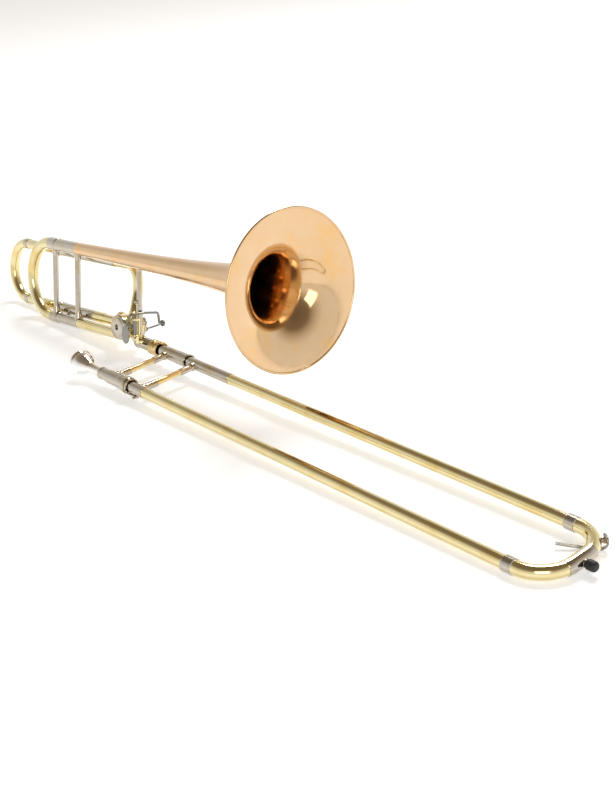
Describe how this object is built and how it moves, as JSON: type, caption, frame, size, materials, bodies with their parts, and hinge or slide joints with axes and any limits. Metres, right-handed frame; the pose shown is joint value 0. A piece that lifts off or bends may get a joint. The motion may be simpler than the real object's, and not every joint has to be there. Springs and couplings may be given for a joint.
{
  "type": "trombone",
  "caption": "Tenor trombone with an open-wrap F attachment: hand slide, flared bell, tuning slides, rotary valve with thumb lever, mouthpiece and water key.",
  "frame": {"origin": "the flat tip of the rubber bumper, on the mid-line of the hand slide", "axes": "+X forward along the slide; +Y the player's left, the bell side; +Z square to the plane of the two slide tubes"},
  "size_m": [1.3069, 0.2633, 0.2783],
  "materials": {
    "rose_brass": "lacquered",
    "rose_brass_tube": "lacquered",
    "yellow_brass": "lacquered",
    "nut_brass": "lacquered",
    "f_leg_brass": "lacquered",
    "nickel_silver": "lacquered",
    "chromed_slide": "polished",
    "steel": "satin",
    "silver_plate": "polished",
    "rubber": "matt",
    "cork": "matt"
  },
  "bodies": {
    "bell_section": {"bell": "rose_brass", "bell_rim_wire": "rose_brass", "upper_tuning_sleeve": "nickel_silver", "lower_tuning_sleeve": "nickel_silver", "front_sleeve_brace": "nickel_silver", "valve_casing": "yellow_brass", "valve_cap": "nickel_silver", "back_bearing_plate": "nickel_silver", "stop_corks": "rubber", "lower_leg_tube": "yellow_brass", "f_sleeves": "nickel_silver", "f_return_tube": "yellow_brass", "f_lower_ferrule": "yellow_brass", "f_forward_crook": "yellow_brass", "f_stays": "nickel_silver", "neck_receiver": "nickel_silver", "neck_tube": "nickel_silver", "slide_tenon": "nickel_silver", "bell_brace": "nickel_silver", "lever_bracket": "yellow_brass", "lever_pivot": "steel", "inner_tube_left": "chromed_slide", "cork_barrel_left": "nickel_silver", "inner_tube_right": "chromed_slide", "cork_barrel_right": "nickel_silver", "barrel_corks": "cork", "mouthpiece_receiver": "nickel_silver", "leadpipe": "nickel_silver", "inner_brace": "yellow_brass", "inner_brace_sockets": "nickel_silver"},
    "main_tuning_slide": {"main_tuning_crook": "rose_brass_tube", "tuning_legs": "nickel_silver", "tuning_ferrules": "nickel_silver", "rear_tuning_brace": "nickel_silver"},
    "f_tuning_slide": {"f_tuning_crook": "yellow_brass", "f_tuning_legs": "f_leg_brass", "f_crook_ferrules": "nickel_silver"},
    "rotor_group": {"rotor": "steel", "stop_arm": "steel", "stop_arm_screw": "steel"},
    "thumb_lever_group": {"thumb_lever": "steel"},
    "link_rod_group": {"link_rod": "steel"},
    "lock_nut_group": {"lock_nut": "nut_brass"},
    "slide_lock_group": {"slide_lock_ring": "nickel_silver"},
    "mouthpiece_group": {"mouthpiece": "silver_plate"},
    "water_key_group": {"water_key": "steel", "water_key_cork": "cork"},
    "outer_slide": {"outer_tube_left": "yellow_brass", "outer_tube_right": "yellow_brass", "outer_sleeve_left": "nickel_silver", "outer_sleeve_right": "nickel_silver", "outer_brace": "yellow_brass", "outer_brace_sockets": "nickel_silver", "crook_ferrules": "nickel_silver", "slide_crook": "yellow_brass", "bumper_mount": "nickel_silver", "bumper": "rubber", "water_key_saddle": "steel", "water_key_pin": "steel", "lock_stud": "nickel_silver"}
  },
  "joints": [
    {"name": "hand_slide", "type": "slide", "parent": "bell_section", "child": "outer_slide", "axis": [1, 0, 0], "range_m": [0, 0.585]},
    {"name": "main_tuning_pull", "type": "slide", "parent": "bell_section", "child": "main_tuning_slide", "axis": [-0.997, -0.0195, -0.0755], "range_m": [0, 0.05]},
    {"name": "f_tuning_pull", "type": "slide", "parent": "bell_section", "child": "f_tuning_slide", "axis": [-0.997, -0.0195, -0.0755], "range_m": [0, 0.075]},
    {"name": "rotor_turn", "type": "hinge", "parent": "bell_section", "child": "rotor_group", "pos_m": [-0.90939, 0.05348, 0.01539], "axis": [0, -0.9681, 0.2504], "range_deg": [0, 90], "stiffness_Nm_per_rad": 0.02, "springref_deg": -28.65},
    {"name": "thumb_lever_press", "type": "hinge", "parent": "bell_section", "child": "thumb_lever_group", "pos_m": [-0.86695, 0.03923, 0.0282], "axis": [0.0779, -0.2496, -0.9652], "range_deg": [0, 22]},
    {"name": "link_rod_swing", "type": "hinge", "parent": "thumb_lever_group", "child": "link_rod_group", "pos_m": [-0.87006, 0.08989, 0.0164], "axis": [-0.0779, 0.2496, 0.9652], "range_deg": [0, 22]},
    {"name": "lock_nut_turn", "type": "hinge", "parent": "bell_section", "child": "lock_nut_group", "pos_m": [-0.8375, 0.0495, 0], "axis": [1, 0, 0], "continuous": true},
    {"name": "slide_lock_turn", "type": "hinge", "parent": "bell_section", "child": "slide_lock_group", "pos_m": [-0.7595, -0.0495, 0], "axis": [-1, 0, 0], "range_deg": [0, 40]},
    {"name": "mouthpiece_pull", "type": "slide", "parent": "bell_section", "child": "mouthpiece_group", "axis": [-1, 0, 0], "range_m": [0, 0.024]},
    {"name": "water_key_press", "type": "hinge", "parent": "outer_slide", "child": "water_key_group", "pos_m": [-0.03372, 0.03778, -0.0109], "axis": [-0.5736, 0.8192, 0], "range_deg": [0, 20], "stiffness_Nm_per_rad": 0.03, "springref_deg": -28.65}
  ],
  "couplings": [
    {"joint": "thumb_lever_press", "follows": "rotor_turn", "ratio": 0.2444},
    {"joint": "link_rod_swing", "follows": "rotor_turn", "ratio": 0.2444}
  ]
}
